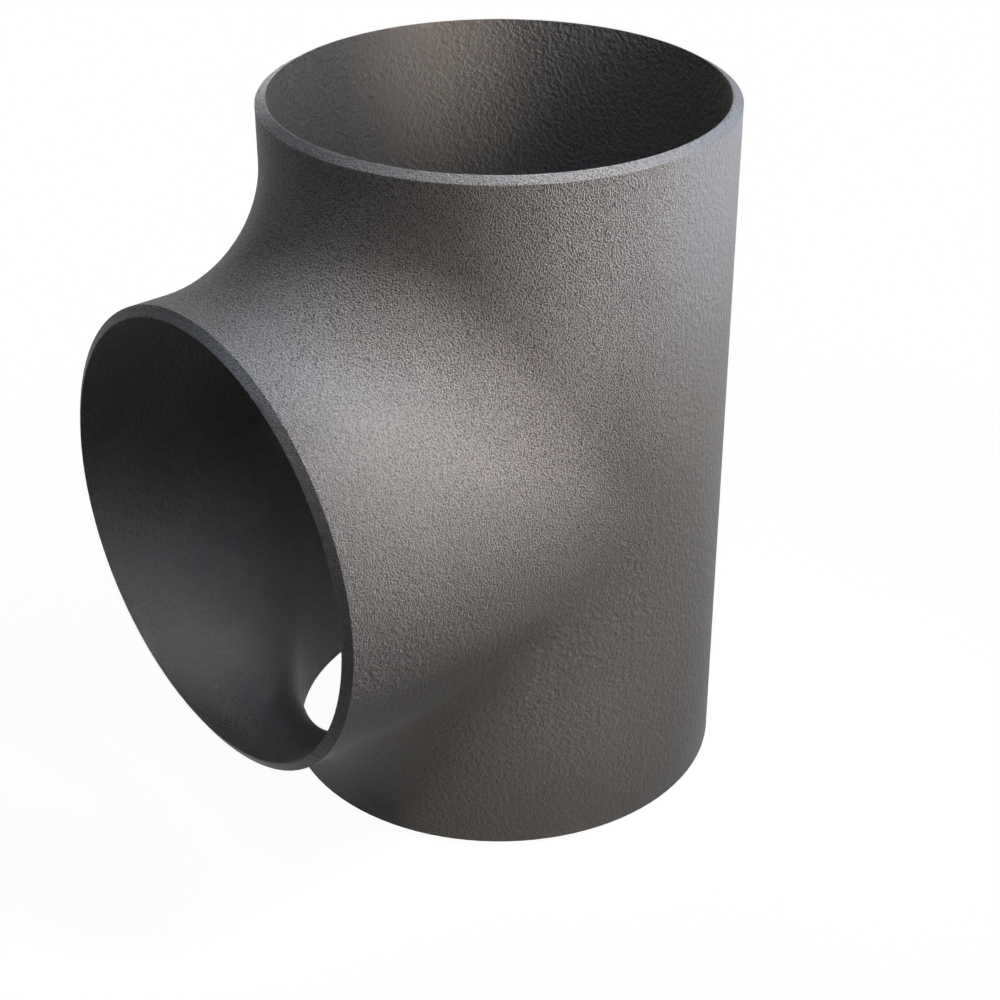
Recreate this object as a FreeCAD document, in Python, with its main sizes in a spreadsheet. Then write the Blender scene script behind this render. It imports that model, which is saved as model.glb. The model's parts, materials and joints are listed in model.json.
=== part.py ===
"""Equal butt weld tee, standing on the lower end of its run. Millimetres, +Z up.

The tee is one formed steel piece: a run and a branch of the same diameter, joined by a rounded
crotch that dies out at the sides, with a weld bevel round each of its three mouths. The wall is
thickest in the middle of the crotch. The outside and the bore are each built as a filled form about
the point where the two centrelines cross, and the bore is then cut from the outside. The branch
points to -Y.
"""

import FreeCAD
import Part
import math
import os

# Driving sizes, in millimetres and degrees
OUTSIDE_DIAMETER = 355.6  # of the run and of the branch
WALL_THICKNESS = 8.0
CROTCH_WALL = 14.3  # thickness of the wall in the middle of the crotch
CENTRE_TO_END = 279.0  # from the crossing of the centrelines to each of the three mouths
NECK_LENGTH = 1.3  # plain round wall between a bevel and the start of the crotch
ROOT_FACE = 1.0  # width of the flat land at a mouth, inside its bevel
BEVEL_ANGLE = 30.0  # slope of a bevel, back from the plane of its mouth

SHEET_CELLS = {
    "outside_diameter": OUTSIDE_DIAMETER,
    "wall_thickness": WALL_THICKNESS,
    "crotch_wall": CROTCH_WALL,
    "centre_to_end": CENTRE_TO_END,
    "neck_length": NECK_LENGTH,
    "root_face": ROOT_FACE,
    "bevel_angle": BEVEL_ANGLE,
}

# Worked out from the sheet. Every length along an axis is counted from the crossing
OUTER_RADIUS = "(Sizes.outside_diameter / 2)"
BORE_RADIUS = f"({OUTER_RADIUS} - Sizes.wall_thickness)"
BEVEL_DEPTH = "((Sizes.wall_thickness - Sizes.root_face) * tan(Sizes.bevel_angle * 1 deg))"
BEVEL_START = f"(Sizes.centre_to_end - {BEVEL_DEPTH})"
CROTCH_START = f"({BEVEL_START} - Sizes.neck_length)"

# Weight of a crotch curve's middle pole, which lies in the corner where run and branch would meet.
# On the outside it makes the curve a quarter circle. In the bore a larger weight draws the curve
# nearer to its corner, until the wall between the two is as thick as it should be
OUTSIDE_WEIGHT = "cos(45 deg)"
OUTSIDE_STANDOFF = f"(({CROTCH_START} - {OUTER_RADIUS}) / sqrt(2) / (1 + {OUTSIDE_WEIGHT}))"
BORE_STANDOFF = f"({OUTSIDE_STANDOFF} + sqrt(2) * Sizes.wall_thickness - Sizes.crotch_wall)"
BORE_WEIGHT = f"(({CROTCH_START} - {BORE_RADIUS}) / sqrt(2) / {BORE_STANDOFF} - 1)"

# Each mouth's turn about X from straight up, in degrees, and the way it faces along Y and Z
MOUTHS = {
    "UpperMouth": (0, 0, 1),
    "LowerMouth": (180, 0, -1),
    "BranchMouth": (90, -1, 0),
}


def add_sheet(doc):
    """Put the driving sizes in the document's spreadsheet, one named cell each."""
    sheet = doc.addObject("Spreadsheet::Sheet", "Sizes")
    for line, (alias, value) in enumerate(SHEET_CELLS.items()):
        row = line + 1
        sheet.set(f"A{row}", alias)
        sheet.set(f"B{row}", str(value))
        sheet.setAlias(f"B{row}", alias)
    doc.recompute()
    return sheet


def add_bound(doc, kind, name, expressions):
    """Add an object and bind its properties to the sheet."""
    thing = doc.addObject(kind, name)
    for key, expression in expressions.items():
        thing.setExpression(key, expression)
    return thing


def turn_about_x(degrees):
    """Placement that turns an upright piece about X, without moving it."""
    turn = FreeCAD.Rotation(FreeCAD.Vector(1, 0, 0), degrees)
    return FreeCAD.Placement(FreeCAD.Vector(0, 0, 0), turn)


def add_saddle_wedge(doc, name, slope):
    """Wedge that opens from the X axis towards -Y, its two sides rising at the given slope."""
    width = "Sizes.centre_to_end"
    rise = f"(Sizes.centre_to_end * {slope})"
    return add_bound(doc, "Part::Wedge", name, {
        "Xmin": f"-{width}",
        "Xmax": width,
        "X2min": f"-{width}",
        "X2max": width,
        "Ymin": f"-{width}",
        "Ymax": "0",
        "Zmin": f"-{rise}",
        "Zmax": rise,
        "Z2min": "0",
        "Z2max": "0",
    })


def crotch_surface(radius, start, corner_weight):
    """Rounded wall between the run and the branch, on the +X side of the middle plane.

    On the middle plane it is one conic curve, touching the run at z = start and the branch at
    y = -start. From there it shrinks towards the point where run and branch meet at the side: each
    section across it is a quarter of the pipe's circle, stretched to reach that first curve.
    """
    circle_weight = math.cos(math.pi / 4)
    along_crotch = [(-radius, start, 1), (-radius, radius, corner_weight), (-start, radius, 1)]
    across_pipe = [(0, 1, 1), (radius, 1, circle_weight), (radius, 0, 1)]
    poles = [
        [FreeCAD.Vector(x, spread * y, spread * z) for y, z, _ in along_crotch]
        for x, spread, _ in across_pipe
    ]
    weights = [[across * along for _, _, along in along_crotch] for _, _, across in across_pipe]
    surface = Part.BSplineSurface()
    surface.buildFromPolesMultsKnots(
        poles, [3, 3], [3, 3], [0, 1], [0, 1], False, False, 2, 2, weights
    )
    return surface


def line_from_crossing(x, y, z):
    """Straight edge from the crossing of the centrelines to a point."""
    return Part.LineSegment(FreeCAD.Vector(0, 0, 0), FreeCAD.Vector(x, y, z)).toShape()


def crotch_solid(radius, start, corner_weight):
    """Solid corner under the crotch surface, closed by three flat faces that meet at the crossing."""
    surface = crotch_surface(radius, start, corner_weight)
    to_side = line_from_crossing(radius, 0, 0)
    to_run = line_from_crossing(0, -radius, start)
    to_branch = line_from_crossing(0, -start, radius)
    faces = [
        surface.toShape(),
        Part.Face(Part.Wire([surface.uIso(0).toShape(), to_run, to_branch])),
        Part.Face(Part.Wire([surface.vIso(0).toShape(), to_run, to_side])),
        Part.Face(Part.Wire([surface.vIso(1).toShape(), to_branch, to_side])),
    ]
    shell = Part.makeShell(faces)
    shell.sewShape()
    solid = Part.Solid(shell)
    if solid.Volume < 0:
        solid.reverse()
    return solid


def add_mirror(doc, name, source, normal):
    """Mirror image of a piece in a plane through the crossing."""
    image = doc.addObject("Part::Mirroring", name)
    image.Source = source
    image.Normal = normal
    return image


def add_crotches(doc, sheet, name, radius, corner_weight):
    """Add the four crotch corners of one form: one modelled, the others its mirror images."""
    sizes = [sheet.evalExpression(size) for size in (radius, CROTCH_START, corner_weight)]
    right = doc.addObject("Part::Feature", f"{name}UpperRightCrotch")
    right.Shape = crotch_solid(*sizes)
    left = add_mirror(doc, f"{name}UpperLeftCrotch", right, FreeCAD.Vector(1, 0, 0))
    upper = [right, left]
    lower = [
        add_mirror(doc, corner.Name.replace("Upper", "Lower"), corner, FreeCAD.Vector(0, 0, 1))
        for corner in upper
    ]
    return upper + lower


def add_run(doc, name, radius):
    """Run between its bevels, less the wedge on the branch side that the crotches fill."""
    run = add_bound(doc, "Part::Cylinder", f"{name}Run", {
        "Radius": radius,
        "Height": f"2 * {BEVEL_START}",
        "Placement.Base.z": f"-{BEVEL_START}",
    })
    cut = doc.addObject("Part::Cut", f"{name}RunSaddle")
    cut.Base = run
    cut.Tool = add_saddle_wedge(doc, f"{name}RunWedge", f"{CROTCH_START} / {radius}")
    return cut


def add_branch(doc, name, radius):
    """Branch from the crossing to its bevel, kept where it lies between the two crotches."""
    branch = add_bound(doc, "Part::Cylinder", f"{name}Branch", {
        "Radius": radius,
        "Height": BEVEL_START,
    })
    branch.Placement = turn_about_x(90)
    kept = doc.addObject("Part::Common", f"{name}BranchSaddle")
    kept.Base = branch
    kept.Tool = add_saddle_wedge(doc, f"{name}BranchWedge", f"{radius} / {CROTCH_START}")
    return kept


def add_mouths(doc, name, kind, sizes):
    """Add one end piece at each mouth, from the back of the bevel out to the mouth."""
    ends = []
    for mouth, (turn, y_way, z_way) in MOUTHS.items():
        end = add_bound(doc, kind, f"{name}{mouth}", {**sizes, "Height": BEVEL_DEPTH})
        end.Placement = turn_about_x(turn)
        end.setExpression("Placement.Base.y", f"{y_way} * {BEVEL_START}")
        end.setExpression("Placement.Base.z", f"{z_way} * {BEVEL_START}")
        ends.append(end)
    return ends


def add_fuse(doc, name, pieces):
    """Join the pieces of a form, and keep the edge where each mouth begins."""
    form = doc.addObject("Part::MultiFuse", name)
    form.Shapes = pieces
    form.Refine = False
    return form


def add_outside(doc, sheet):
    """Filled outside of the tee, with a bevel at each mouth."""
    pieces = [
        add_run(doc, "Outside", OUTER_RADIUS),
        add_branch(doc, "Outside", OUTER_RADIUS),
        *add_crotches(doc, sheet, "Outside", OUTER_RADIUS, OUTSIDE_WEIGHT),
        *add_mouths(doc, "Outside", "Part::Cone", {
            "Radius1": OUTER_RADIUS,
            "Radius2": f"{BORE_RADIUS} + Sizes.root_face",
        }),
    ]
    return add_fuse(doc, "Outside", pieces)


def add_bore(doc, sheet):
    """Filled bore of the tee, out to each mouth."""
    pieces = [
        add_run(doc, "Bore", BORE_RADIUS),
        add_branch(doc, "Bore", BORE_RADIUS),
        *add_crotches(doc, sheet, "Bore", BORE_RADIUS, BORE_WEIGHT),
        *add_mouths(doc, "Bore", "Part::Cylinder", {"Radius": BORE_RADIUS}),
    ]
    return add_fuse(doc, "Bore", pieces)


def add_tee_body(doc, sheet):
    """The tee itself, lifted from the crossing so that its lower mouth stands on z = 0."""
    tee = doc.addObject("Part::Cut", "TeeBody")
    tee.Label = "tee_body"
    tee.Base = add_outside(doc, sheet)
    tee.Tool = add_bore(doc, sheet)
    tee.Refine = False
    tee.setExpression("Placement.Base.z", "Sizes.centre_to_end")
    return tee


def check_document(doc, sub_parts):
    """Stop before anything is written if an object failed or a sub-part isn't sound."""
    for thing in doc.Objects:
        if "Invalid" in thing.State or "Error" in thing.State:
            raise RuntimeError(f"{thing.Label} failed: {thing.State}")
    for thing in sub_parts:
        if thing.Shape.isNull() or not thing.Shape.isValid():
            raise RuntimeError(f"{thing.Label} has no sound shape")
        if len(thing.Shape.Solids) != 1:
            raise RuntimeError(f"{thing.Label} is not one solid")


def write_steps(sub_parts):
    """Write each sub-part to a STEP file of its own name."""
    os.makedirs("parts", exist_ok=True)
    for thing in sub_parts:
        thing.Shape.exportStep(f"parts/{thing.Label}.step")


def main():
    """Build the document, check it and write the tee."""
    doc = FreeCAD.newDocument("ButtWeldTee")
    sheet = add_sheet(doc)
    sub_parts = [add_tee_body(doc, sheet)]
    doc.recompute()
    check_document(doc, sub_parts)
    write_steps(sub_parts)


main()
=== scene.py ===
"""Dressed model of an upright butt weld tee: coated steel, weld bevels, studio floor and light."""

import json
import logging
import math
from dataclasses import dataclass, field
from enum import Enum
from functools import reduce
from typing import Any, Dict, Optional, Tuple, Union

import bpy
from mathutils import Matrix, Vector


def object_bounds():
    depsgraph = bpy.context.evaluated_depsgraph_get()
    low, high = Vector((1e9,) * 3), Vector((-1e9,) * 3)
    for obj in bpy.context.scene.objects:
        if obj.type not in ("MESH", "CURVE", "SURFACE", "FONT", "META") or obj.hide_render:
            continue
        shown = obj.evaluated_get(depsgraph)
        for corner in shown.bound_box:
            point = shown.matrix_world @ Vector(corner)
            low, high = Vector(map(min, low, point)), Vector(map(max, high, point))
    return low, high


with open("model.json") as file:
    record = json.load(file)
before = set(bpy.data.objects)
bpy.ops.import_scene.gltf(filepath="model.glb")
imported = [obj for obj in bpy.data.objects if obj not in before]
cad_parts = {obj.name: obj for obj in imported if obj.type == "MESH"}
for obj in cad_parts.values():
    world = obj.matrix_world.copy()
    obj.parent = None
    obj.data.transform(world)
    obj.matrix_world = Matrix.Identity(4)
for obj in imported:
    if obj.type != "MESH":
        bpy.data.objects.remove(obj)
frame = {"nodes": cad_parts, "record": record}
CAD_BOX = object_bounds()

Span = Tuple[float, float]
Triple = Tuple[float, float, float]
MM_PER_METRE = 1000
OPAQUE = 1.0
WHITE = (1.0, 1.0, 1.0, OPAQUE)
log = logging.getLogger("tee")


# Sizes that the frame gives

class Mouth(Enum):
    """The three open ends, by the name of the bore mount at each."""

    UPPER = "run_bore_upper"
    LOWER = "run_bore_lower"
    BRANCH = "branch_bore"


@dataclass(frozen=True)
class MouthPlace:
    """Where one mouth lies.

    Args:
        centre: Middle of the mouth, in metres.
        outward: Unit direction out of the mouth.
    """

    centre: Triple
    outward: Triple


@dataclass
class TeeSizes:
    """Sizes of the tee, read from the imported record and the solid's box, in metres.

    Args:
        record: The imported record.
    """

    record: Dict[str, Any]
    bore_radius: float = field(init=False)
    outer_radius: float = field(init=False)
    height: float = field(init=False)
    mouths: Dict[Mouth, MouthPlace] = field(init=False)

    def __post_init__(self) -> None:
        """Read the three bore mounts and the box of the solid."""
        mounts = {mount["name"]: mount for mount in self.record["mounts"]}
        self.bore_radius = mounts[Mouth.UPPER.value]["dims"]["r_mm"] / MM_PER_METRE
        low, high = CAD_BOX
        self.outer_radius = (high[0] - low[0]) / 2
        self.height = high[2] - low[2]
        self.mouths = {
            mouth: MouthPlace(
                tuple(mounts[mouth.value]["pos_m"]), tuple(mounts[mouth.value]["axis"])
            )
            for mouth in Mouth
        }

    @property
    def wall(self) -> float:
        """Thickness of the pipe's wall."""
        return self.outer_radius - self.bore_radius

    def in_wall(self, shares: Span) -> Span:
        """Radii at two depths in the wall.

        Args:
            shares: The depths, 0 at the bore and 1 on the outside.

        Returns:
            The two radii.
        """
        first, second = shares
        return self.bore_radius + first * self.wall, self.bore_radius + second * self.wall


# Shader building

Operand = Union["Signal", float]


class Signal:
    """One socket of a node tree, with arithmetic that adds Math nodes."""

    def __init__(self, tree: bpy.types.NodeTree, socket: bpy.types.NodeSocket) -> None:
        """Wrap a socket.

        Args:
            tree: The tree that holds the socket.
            socket: An output socket that carries a value.
        """
        self.tree = tree
        self.socket = socket

    def _math(self, operation: str, *operands: Operand) -> "Signal":
        """Add a Math node.

        Args:
            operation: The node's operation.
            operands: Its inputs, in order.

        Returns:
            The node's output.
        """
        node = self.tree.nodes.new("ShaderNodeMath")
        node.operation = operation
        for place, operand in enumerate(operands):
            if isinstance(operand, Signal):
                self.tree.links.new(operand.socket, node.inputs[place])
            else:
                node.inputs[place].default_value = operand
        return Signal(self.tree, node.outputs[0])

    def __add__(self, other: Operand) -> "Signal":
        """Sum."""
        return self._math("ADD", self, other)

    __radd__ = __add__

    def __sub__(self, other: Operand) -> "Signal":
        """Difference."""
        return self._math("SUBTRACT", self, other)

    def __rsub__(self, other: Operand) -> "Signal":
        """Difference from a number."""
        return self._math("SUBTRACT", other, self)

    def __mul__(self, other: Operand) -> "Signal":
        """Product."""
        return self._math("MULTIPLY", self, other)

    __rmul__ = __mul__

    def at_least(self, other: Operand) -> "Signal":
        """The larger of the two."""
        return self._math("MAXIMUM", self, other)

    def root(self) -> "Signal":
        """Square root."""
        return self._math("SQRT", self)

    def rise(self, start: float, end: float) -> "Signal":
        """Smooth step.

        Args:
            start: Value at which the step leaves 0.
            end: Value at which it reaches 1.

        Returns:
            0 before start, 1 past end, smooth between.
        """
        node = self.tree.nodes.new("ShaderNodeMapRange")
        node.interpolation_type = "SMOOTHSTEP"
        self.tree.links.new(self.socket, node.inputs["Value"])
        node.inputs["From Min"].default_value = start
        node.inputs["From Max"].default_value = end
        return Signal(self.tree, node.outputs["Result"])


@dataclass(frozen=True)
class Ramp:
    """Smooth change of a share along a measure.

    Args:
        start: Measure at which the change begins.
        end: Measure at which it is done.
        before: Share up to the start.
        after: Share past the end.
    """

    start: float
    end: float
    before: float
    after: float

    def of(self, measure: Signal) -> Signal:
        """The share at a measure."""
        return measure.rise(self.start, self.end) * (self.after - self.before) + self.before


@dataclass(frozen=True)
class Noise:
    """One layer of soft noise over the object.

    Args:
        per_metre: Features to the metre.
        detail: Octaves.
        roughness: Weight of the finer octaves.
        limits: Raw values that become 0 and 1.
    """

    per_metre: float
    detail: float
    roughness: float
    limits: Span


class Output(Enum):
    """What a node tree ends in, by the type of its last node."""

    MATERIAL = "ShaderNodeOutputMaterial"
    WORLD = "ShaderNodeOutputWorld"


class Recipe:
    """The node tree of a material or of the world, under construction."""

    def __init__(self, owner: Union[bpy.types.Material, bpy.types.World]) -> None:
        """Start with an empty tree.

        Args:
            owner: The material or world that the tree belongs to.
        """
        owner.use_nodes = True
        self.tree = owner.node_tree
        self.tree.nodes.clear()

    def node(
        self,
        kind: str,
        settings: Optional[Dict[str, Any]] = None,
        inputs: Optional[Dict[Union[str, int], Any]] = None,
    ) -> bpy.types.Node:
        """Add one node.

        Args:
            kind: The node's type.
            settings: Its properties, set first.
            inputs: Values or links for its sockets, by name or place.

        Returns:
            The node.
        """
        node = self.tree.nodes.new(kind)
        for key, value in (settings or {}).items():
            setattr(node, key, value)
        for key, value in (inputs or {}).items():
            if isinstance(value, Signal):
                self.tree.links.new(value.socket, node.inputs[key])
            elif isinstance(value, bpy.types.NodeSocket):
                self.tree.links.new(value, node.inputs[key])
            else:
                node.inputs[key].default_value = value
        return node

    def shader(self, kind: str, inputs: Dict[Union[str, int], Any]) -> bpy.types.NodeSocket:
        """Add a shader node.

        Args:
            kind: The node's type.
            inputs: Values or links for its sockets, by name or place.

        Returns:
            The shader's socket.
        """
        return self.node(kind, None, inputs).outputs[0]

    def signal(self, socket: bpy.types.NodeSocket) -> Signal:
        """Wrap a socket of this tree."""
        return Signal(self.tree, socket)

    def vector_math(self, operation: str, *operands: Any) -> bpy.types.Node:
        """Add a Vector Math node.

        Args:
            operation: The node's operation.
            operands: Its vectors, in order.

        Returns:
            The node.
        """
        settings = {"operation": operation}
        return self.node("ShaderNodeVectorMath", settings, dict(enumerate(operands)))

    def length(self, vector: bpy.types.NodeSocket) -> Signal:
        """Length of a vector."""
        return self.signal(self.vector_math("LENGTH", vector).outputs["Value"])

    def place(self) -> bpy.types.NodeSocket:
        """Position on the object, in metres."""
        return self.node("ShaderNodeTexCoord").outputs["Object"]

    def split(self, place: bpy.types.NodeSocket) -> Tuple[Signal, ...]:
        """Split a position.

        Args:
            place: The position's socket.

        Returns:
            Its X, Y and Z.
        """
        parts = self.node("ShaderNodeSeparateXYZ", None, {"Vector": place})
        return tuple(self.signal(socket) for socket in parts.outputs)

    def seen(self) -> Signal:
        """1 to the camera's rays and to those in a gloss or through glass, 0 to the light's."""
        path = self.node("ShaderNodeLightPath")
        camera, gloss, glass = (
            self.signal(path.outputs[ray])
            for ray in ("Is Camera Ray", "Is Glossy Ray", "Is Transmission Ray")
        )
        return camera.at_least(gloss).at_least(glass)

    def noise(self, place: bpy.types.NodeSocket, layer: Noise) -> Signal:
        """Soft noise over the object.

        Args:
            place: Position to read.
            layer: The noise's sizes.

        Returns:
            The noise, 0 to 1.
        """
        node = self.node(
            "ShaderNodeTexNoise",
            {"noise_dimensions": "3D"},
            {
                "Vector": place,
                "Scale": layer.per_metre,
                "Detail": layer.detail,
                "Roughness": layer.roughness,
            },
        )
        return self.signal(node.outputs[0]).rise(*layer.limits)

    def blend(self, share: Signal, first: Any, second: Any) -> bpy.types.NodeSocket:
        """Colour between two colours.

        Args:
            share: 0 for the first, 1 for the second.
            first: A colour with its alpha, or a colour socket.
            second: A colour with its alpha, or a colour socket.

        Returns:
            The mixed colour's socket.
        """
        settings = {"data_type": "RGBA", "blend_type": "MIX"}
        return self.node("ShaderNodeMix", settings, {0: share, 6: first, 7: second}).outputs[2]

    def mix(
        self,
        share: Operand,
        first: Optional[bpy.types.NodeSocket],
        second: bpy.types.NodeSocket,
    ) -> bpy.types.NodeSocket:
        """Shader between two shaders.

        Args:
            share: 0 for the first, 1 for the second.
            first: A shader, or None for black.
            second: A shader.

        Returns:
            The mixed shader's socket.
        """
        inputs = {0: share, 2: second}
        if first is not None:
            inputs[1] = first
        return self.shader("ShaderNodeMixShader", inputs)

    def finish(self, output: Output, shader: bpy.types.NodeSocket) -> None:
        """Join the shader to the tree's output.

        Args:
            output: What the tree ends in.
            shader: The shader's socket.
        """
        self.node(output.value, None, {"Surface": shader})


# Finishes

@dataclass(frozen=True)
class GrainSpread:
    """Where on the tee the grain is sharp and where it is soft.

    The pebbles are sharpest high on the branch side. Lower down, round the back and in the bores
    they are calmer, and the softer swells show instead. Places are in metres. The pebbles' share
    also sets how strongly the painted shade in the pits and the painted highlight on their tops
    show.

    Args:
        height: Pebbles' share by height.
        back: Pebbles' share from the branch side to the back, by Y.
        branch: How much of the branch's calm holds, by Y.
        flank: Pebbles' share that is lost on the branch's flank, by X.
        bore_loss: Pebbles' share that is lost in the bores.
        bore_edge: Depths in the wall, 0 at the bore, between which the bores' mask ends.
        crossing: How much of the branch's bore counts, by Y.
        swell_loss: Swells' share that full pebbles hide.
        swell_back_loss: Swells' share that is lost with the pebbles of the back.
        swell_foot: Swells' share by height, near the floor.
        bore_gain: Swells' share that is added in the bores.
    """

    height: Ramp = Ramp(0.17, 0.34, 0.30, 1.0)
    back: Ramp = Ramp(-0.05, 0.055, 1.0, 0.15)
    branch: Ramp = Ramp(-0.24, -0.08, 1.0, 0.0)
    flank: Ramp = Ramp(0.06, 0.14, 0.0, 0.38)
    bore_loss: float = 0.60
    bore_edge: Span = (0.1, 0.7)
    crossing: Ramp = Ramp(-0.02, 0.0, 1.0, 0.0)
    swell_loss: float = 0.8
    swell_back_loss: float = 0.35
    swell_foot: Ramp = Ramp(0.0, 0.12, 0.5, 1.0)
    bore_gain: float = 1.0

    def inside(self, recipe: Recipe, place: bpy.types.NodeSocket, sizes: TeeSizes) -> Signal:
        """Mask of the bores of the run and the branch.

        Args:
            recipe: The material under construction.
            place: Position on the object.
            sizes: Sizes of the tee.

        Returns:
            1 in the bores, 0 on the outside.
        """
        x, y, z = recipe.split(place)
        edge = sizes.in_wall(self.bore_edge)
        above = z - sizes.height / 2
        run = 1.0 - (x * x + y * y).root().rise(*edge)
        branch = 1.0 - (x * x + above * above).root().rise(*edge)
        return run.at_least(branch * self.crossing.of(y))

    def shares(
        self, recipe: Recipe, place: bpy.types.NodeSocket, sizes: TeeSizes
    ) -> Tuple[Signal, Signal]:
        """Shares of the full pebbles and of the full swells over the tee.

        Args:
            recipe: The material under construction.
            place: Position on the object.
            sizes: Sizes of the tee.

        Returns:
            The pebbles' share and the swells' share.
        """
        x, y, z = recipe.split(place)
        inside = self.inside(recipe, place, sizes)
        back = self.back.of(y)
        flank = 1.0 - self.branch.of(y) * self.flank.of(x)
        pebbles = self.height.of(z) * back * flank * (1.0 - inside * self.bore_loss)
        swells = (1.0 - pebbles * self.swell_loss) * (1.0 - (1.0 - back) * self.swell_back_loss)
        return pebbles, swells * self.swell_foot.of(z) * (inside * self.bore_gain + 1.0)


@dataclass(frozen=True)
class CoatedSteel:
    """Dark protective coat over forged steel, with a fine pebbled grain and smoother weld bevels.

    Args:
        coat: Colour of the coat.
        coat_dark: Colour of the coat in its darker clouds.
        painted_pit_shade: Painted shade at the bottom of the grain's pits, darker than the coat.
        painted_speck_highlight: Painted highlight on the pebbles' tops, lighter than the coat.
        bevel: Colour of the machined bevels and lands.
        roughness: Roughness of the coat.
        bevel_roughness: Roughness of the bevels.
        gloss_index: Refractive index of the coat, low for a dull sheen.
        clouds: Slow changes of the coat's colour.
        pebbles: Pebbles of the grain.
        pits: Wider pits between the pebbles.
        swells: Soft swells under the grain.
        pit_weight: Share of the pits in the grain's height.
        pit_painted_shade_share: Share of the painted shade in the pits, by the grain's height.
        speck_highlight_share: Share of the painted highlight on the pebbles' tops, by the grain's
            height.
        swell_height: Height of the swells over that of the pebbles.
        bevel_loss: Share of the grain's height that the bevels lose.
        grain_depth: Height of the grain's bump, in metres.
        bevel_inner: Depths in the wall, 0 at the bore, between which the bevels' mask begins.
        bevel_depth: Distances back from a mouth, over the wall, between which it ends.
        spread: Where the grain is sharp and where it is soft.
    """

    coat: Triple = (0.254, 0.241, 0.228)
    coat_dark: Triple = (0.238, 0.225, 0.213)
    # Painted shade: the pits' dark colour stands in for the shade that falls in them.
    painted_pit_shade: Triple = (0.090, 0.087, 0.084)
    # Painted highlight: the pebbles' light tops stand in for light catching them.
    painted_speck_highlight: Triple = (0.390, 0.376, 0.364)
    bevel: Triple = (0.240, 0.238, 0.240)
    roughness: float = 0.50
    bevel_roughness: float = 0.46
    gloss_index: float = 1.25
    clouds: Noise = Noise(9.0, 3.0, 0.55, (0.30, 0.70))
    pebbles: Noise = Noise(840.0, 1.0, 0.5, (0.25, 0.75))
    pits: Noise = Noise(403.2, 1.0, 0.5, (0.30, 0.60))
    swells: Noise = Noise(250.0, 2.0, 0.6, (0.25, 0.75))
    pit_weight: float = 0.2
    # Share of the painted shade in the pits, by the grain's height.
    pit_painted_shade_share: Ramp = Ramp(0.10, 0.48, 0.85, 0.0)
    # Share of the painted highlight on the pebbles' tops, by the grain's height.
    speck_highlight_share: Ramp = Ramp(0.50, 0.90, 0.0, 0.65)
    swell_height: float = 0.92
    bevel_loss: float = 0.4
    grain_depth: float = 0.0014
    bevel_inner: Span = (0.02, 0.05)
    bevel_depth: Span = (0.52, 0.50)
    spread: GrainSpread = GrainSpread()

    def bevel_mask(self, recipe: Recipe, place: bpy.types.NodeSocket, sizes: TeeSizes) -> Signal:
        """Mask of the bevels and lands: near a mouth's plane and outside its bore.

        Args:
            recipe: The material under construction.
            place: Position on the object.
            sizes: Sizes of the tee.

        Returns:
            1 on the bevels, 0 elsewhere.
        """
        behind = [-share * sizes.wall for share in self.bevel_depth]
        rings = []
        for mouth in sizes.mouths.values():
            from_centre = recipe.vector_math("SUBTRACT", place, mouth.centre).outputs[0]
            projection = recipe.vector_math("DOT_PRODUCT", from_centre, mouth.outward)
            along = recipe.signal(projection.outputs["Value"])
            distance = recipe.length(from_centre)
            radial = (distance * distance - along * along).at_least(0.0).root()
            rings.append(radial.rise(*sizes.in_wall(self.bevel_inner)) * along.rise(*behind))
        return reduce(Signal.at_least, rings)

    def grain(self, recipe: Recipe, place: bpy.types.NodeSocket) -> Signal:
        """Height of the pebbled grain.

        Args:
            recipe: The material under construction.
            place: Position on the object.

        Returns:
            The height, 0 to 1.
        """
        pebbles = recipe.noise(place, self.pebbles)
        pits = recipe.noise(place, self.pits)
        return pebbles * (1.0 - self.pit_weight) + pits * self.pit_weight

    def make(self, sizes: TeeSizes) -> bpy.types.Material:
        """Build the finish.

        Args:
            sizes: Sizes of the tee.

        Returns:
            The material.
        """
        material = bpy.data.materials.new("coated_steel")
        recipe = Recipe(material)
        place = recipe.place()
        coat, coat_dark, painted_pit_shade, painted_speck_highlight, bevel = (
            (*colour, OPAQUE)
            for colour in (self.coat, self.coat_dark, self.painted_pit_shade, self.painted_speck_highlight, self.bevel)
        )
        bevels = self.bevel_mask(recipe, place, sizes)
        grain = self.grain(recipe, place)
        swell = recipe.noise(place, self.swells)
        pebbles, swells = self.spread.shares(recipe, place, sizes)
        colour = recipe.blend(recipe.noise(place, self.clouds), coat, coat_dark)
        colour = recipe.blend(bevels, colour, bevel)
        # Painted shade in the grain's pits, strongest where the pebbles are sharp.
        colour = recipe.blend(self.pit_painted_shade_share.of(grain) * pebbles, colour, painted_pit_shade)
        # Painted highlight on the pebbles' tops, strongest where the pebbles are sharp.
        colour = recipe.blend(self.speck_highlight_share.of(grain) * pebbles, colour, painted_speck_highlight)
        roughness = bevels * (self.bevel_roughness - self.roughness) + self.roughness
        relief = grain * pebbles + swell * swells * self.swell_height
        height = relief * (1.0 - bevels * self.bevel_loss)
        bump = recipe.node(
            "ShaderNodeBump",
            None,
            {"Strength": 1.0, "Distance": self.grain_depth, "Height": height},
        )
        shader = recipe.shader(
            "ShaderNodeBsdfPrincipled",
            {
                "Base Color": colour,
                "Roughness": roughness,
                "Normal": bump.outputs["Normal"],
                "IOR": self.gloss_index,
            },
        )
        recipe.finish(Output.MATERIAL, shader)
        return material


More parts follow.
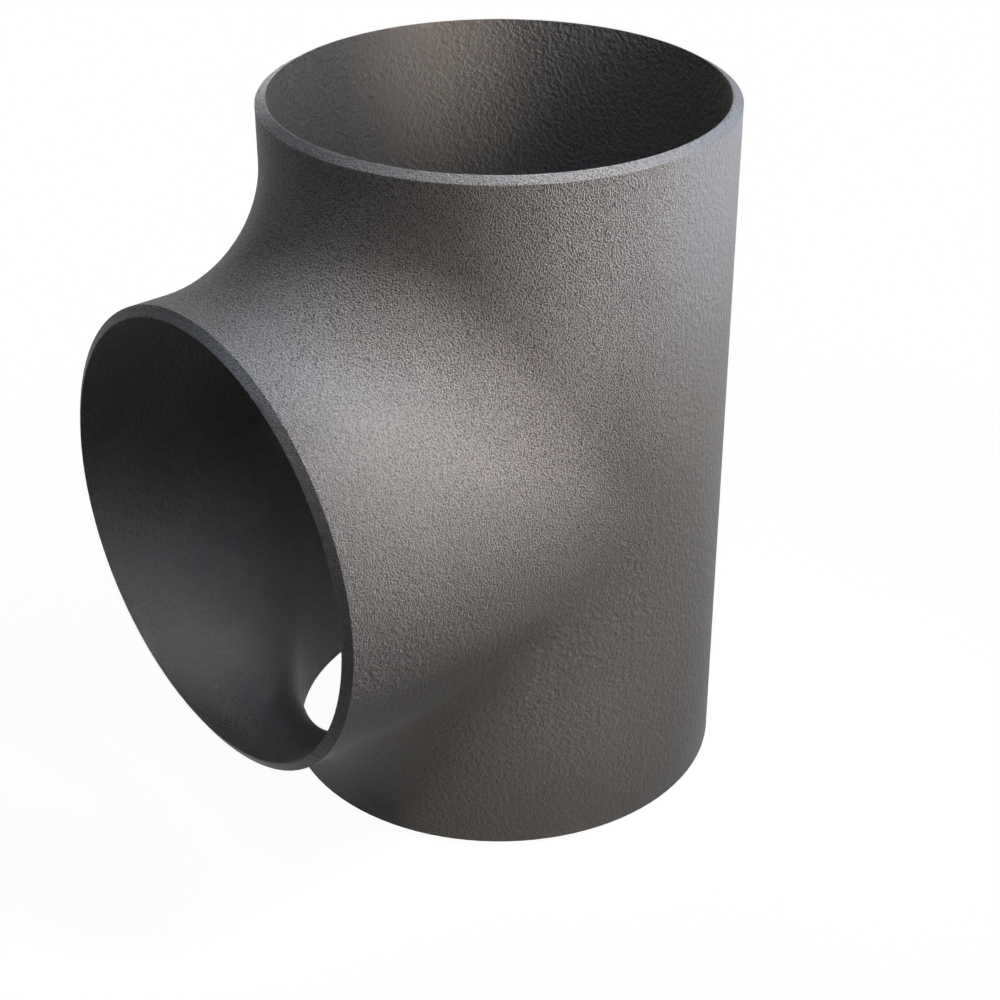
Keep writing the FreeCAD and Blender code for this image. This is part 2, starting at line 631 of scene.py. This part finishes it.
@dataclass(frozen=True)
class PaleFloor:
    """Pale studio floor that reads as white to the camera and keeps a light shadow.

    Args:
        colour: Colour of the floor under the lamps.
        lift: White that the floor adds for the camera, so that it joins the backdrop.
        shade: Share of the lamps' light that the camera sees on it.
        fade: Distances from the run's axis at which the floor starts to turn into plain white,
            and has done so.
    """

    colour: Triple = (0.30, 0.30, 0.30)
    lift: float = 0.965
    shade: float = 0.10
    fade: Span = (0.35, 0.90)

    def make(self) -> bpy.types.Material:
        """Build the floor's material."""
        material = bpy.data.materials.new("pale_floor")
        recipe = Recipe(material)
        plain = recipe.shader("ShaderNodeBsdfDiffuse", {"Color": (*self.colour, OPAQUE)})
        lit = recipe.shader("ShaderNodeBsdfDiffuse", {"Color": WHITE})
        lifted = recipe.shader("ShaderNodeEmission", {"Color": WHITE, "Strength": self.lift})
        shaded = recipe.mix(self.shade, None, lit)
        near = recipe.shader("ShaderNodeAddShader", {0: lifted, 1: shaded})
        far = recipe.shader("ShaderNodeEmission", {"Color": WHITE, "Strength": 1.0})
        away = recipe.length(recipe.place())
        shown = recipe.mix(away.rise(*self.fade), near, far)
        recipe.finish(Output.MATERIAL, recipe.mix(recipe.seen(), plain, shown))
        return material


# The tee

@dataclass
class TeeBody:
    """The one steel piece.

    Args:
        sizes: Sizes of the tee.
        finish: Its finish.
    """

    sizes: TeeSizes
    finish: CoatedSteel = field(default_factory=CoatedSteel)

    def dress(self) -> bpy.types.Object:
        """Dress the solid with its finish.

        Returns:
            The piece.
        """
        piece = frame["nodes"]["tee_body"]
        piece.data.materials.clear()
        piece.data.materials.append(self.finish.make(self.sizes))
        return piece


# The studio

@dataclass(frozen=True)
class Lamp:
    """One soft area lamp, aimed at the tee.

    Args:
        name: The lamp's name.
        azimuth: Degrees round the tee, counted as the camera's.
        elevation: Degrees above the floor.
        distance: Metres from the place that it aims at.
        size: Width and height of the lamp, in metres.
        watts: Power.
        colour: Colour of the light.
        aim: Place that it aims at, in metres.
        spread: Width of its beam, in degrees.
    """

    name: str
    azimuth: float
    elevation: float
    distance: float
    size: float
    watts: float
    colour: Triple
    aim: Triple
    spread: float = 180.0


LAMPS = (
    Lamp("warm_key", 100.0, 31.0, 0.583, 0.25, 0.62, (1.0, 0.785, 0.62), (0.0, 0.0, 0.35)),
    Lamp("cool_key", 120.0, 31.0, 0.583, 0.25, 1.63, (0.826, 0.918, 1.0), (0.0, 0.0, 0.35)),
    Lamp("high_front", 56.0, 62.0, 1.8, 0.5, 0.26, (0.63, 0.76, 1.0), (0.0, 0.0, 0.50), 35.0),
    Lamp(
        "branch_beam", 135.0, 58.0, 1.1, 0.2, 0.176,
        (0.925, 0.952, 1.0), (0.12, -0.22, 0.36), 18.0,
    ),
    Lamp(
        "crotch_beam", 65.0, 62.0, 1.1, 0.2, 0.094,
        (1.0, 0.885, 0.78), (0.15, -0.13, 0.38), 18.0,
    ),
    Lamp(
        "saddle_beam", 50.0, 72.0, 1.1, 0.08, 0.010,
        (0.62, 0.76, 1.0), (0.06, -0.25, 0.445), 6.0,
    ),
    Lamp(
        "ridge_beam", 60.0, 45.0, 1.1, 0.1, 0.008,
        (1.0, 0.86, 0.73), (0.165, -0.13, 0.36), 7.0,
    ),
    Lamp(
        "front_beam", 100.0, 60.0, 1.1, 0.1, 0.020,
        (1.0, 0.915, 0.79), (0.165, -0.05, 0.44), 8.0,
    ),
    Lamp(
        "rim_beam", -20.0, 70.0, 1.1, 0.1, 0.036,
        (0.94, 0.96, 1.0), (-0.13, -0.11, 0.55), 8.0,
    ),
    Lamp(
        "low_beam", 105.0, 20.0, 1.1, 0.15, 0.021,
        (1.0, 0.89, 0.80), (0.14, -0.10, 0.08), 14.0,
    ),
    Lamp(
        "top_bore_beam", 65.0, 48.0, 1.1, 0.1, 0.023,
        (1.0, 0.84, 0.70), (-0.158, 0.070, 0.54), 6.5,
    ),
    Lamp(
        "branch_bore_beam", 40.0, 30.0, 1.1, 0.1, 0.0055,
        (0.62, 0.71, 1.0), (-0.12, -0.22, 0.18), 9.0,
    ),
    Lamp(
        "edge_beam", 150.0, 20.0, 1.1, 0.15, 0.044,
        (0.30, 0.50, 1.0), (0.17, 0.05, 0.52), 12.0,
    ),
    Lamp("back_fill", 236.0, 22.0, 1.7, 0.8, 6.0, (1.0, 0.97, 0.94), (0.0, 0.0, 0.28)),
)


@dataclass
class Studio:
    """Floor, lamps, world and camera.

    Args:
        sizes: Sizes of the tee.
        camera_azimuth: Degrees round the tee, 0 looking along +Y.
        camera_elevation: Degrees above the horizon.
        camera_distance: Metres from the tee's middle.
        lens: Focal length, in millimetres.
        sensor: Width of the camera's sensor, in millimetres.
        aside: How far the camera is moved to the right across its own picture, in metres.
        lowered: How far it is moved down its own picture, in metres.
        floor_size: Width and depth of the floor, in metres.
        ambient: Strength of the world's even light on the tee.
        lamps: The lamps.
    """

    sizes: TeeSizes
    camera_azimuth: float = 50.157
    camera_elevation: float = 30.14
    camera_distance: float = 1.6552
    lens: float = 74.85
    sensor: float = 36.0
    aside: float = 0.00064
    lowered: float = 0.05775
    floor_size: float = 12.0
    ambient: float = 0.0
    lamps: Tuple[Lamp, ...] = LAMPS

    def direction(self, azimuth: float, elevation: float) -> Vector:
        """Unit direction from the tee.

        Args:
            azimuth: Degrees round the tee, 0 towards -Y.
            elevation: Degrees above the floor.

        Returns:
            The direction.
        """
        turn, lift = math.radians(azimuth), math.radians(elevation)
        return Vector((
            math.sin(turn) * math.cos(lift),
            -math.cos(turn) * math.cos(lift),
            math.sin(lift),
        ))

    def facing(self, place: Vector, back: Vector) -> Matrix:
        """Placement of a lamp or camera that looks along minus back, level from side to side.

        Args:
            place: Where it stands.
            back: Unit direction behind it.

        Returns:
            The placement.
        """
        side = Vector((0.0, 0.0, 1.0)).cross(back).normalized()
        top = back.cross(side)
        turn = Matrix((side, top, back)).transposed().to_4x4()
        return Matrix.Translation(place) @ turn

    def add_camera(self) -> None:
        """Add the camera at the picture's viewing angle."""
        data = bpy.data.cameras.new("camera")
        data.lens = self.lens
        data.sensor_width = self.sensor
        camera = bpy.data.objects.new("camera", data)
        bpy.context.scene.collection.objects.link(camera)
        middle = Vector((0.0, 0.0, self.sizes.height / 2))
        back = self.direction(self.camera_azimuth, self.camera_elevation)
        placed = self.facing(middle + back * self.camera_distance, back)
        camera.matrix_world = placed @ Matrix.Translation((self.aside, -self.lowered, 0.0))
        bpy.context.scene.camera = camera

    def add_lamps(self) -> None:
        """Add the soft lamps."""
        for lamp in self.lamps:
            data = bpy.data.lights.new(lamp.name, "AREA")
            data.shape = "SQUARE"
            data.size = lamp.size
            data.energy = lamp.watts
            data.color = lamp.colour
            data.spread = math.radians(lamp.spread)
            light = bpy.data.objects.new(lamp.name, data)
            light.visible_camera = False
            bpy.context.scene.collection.objects.link(light)
            back = self.direction(lamp.azimuth, lamp.elevation)
            light.matrix_world = self.facing(Vector(lamp.aim) + back * lamp.distance, back)

    def add_world(self) -> None:
        """White to the camera and in a gloss, and the even light to everything else."""
        world = bpy.data.worlds.new("studio")
        recipe = Recipe(world)
        even = recipe.shader("ShaderNodeBackground", {"Color": WHITE, "Strength": self.ambient})
        white = recipe.shader("ShaderNodeBackground", {"Color": WHITE, "Strength": 1.0})
        recipe.finish(Output.WORLD, recipe.mix(recipe.seen(), even, white))
        bpy.context.scene.world = world

    def add_floor(self) -> None:
        """Add the floor under the tee."""
        bpy.ops.object.select_all(action="DESELECT")
        bpy.ops.mesh.primitive_plane_add(size=self.floor_size, location=(0.0, 0.0, 0.0))
        floor = bpy.context.object
        floor.name = "floor"
        floor.data.materials.append(PaleFloor().make())

    def build(self) -> None:
        """Set up the floor, the lamps, the world, the camera and the view."""
        self.add_floor()
        self.add_lamps()
        self.add_world()
        self.add_camera()
        bpy.context.scene.view_settings.view_transform = "Standard"


def main() -> None:
    """Build the tee and its studio."""
    logging.basicConfig(level=logging.INFO, format="%(name)s: %(message)s")
    sizes = TeeSizes(frame["record"])
    piece = TeeBody(sizes).dress()
    log.info("%s dressed", piece.name)
    Studio(sizes).build()
    log.info("studio ready")


if __name__ == "__main__":
    main()
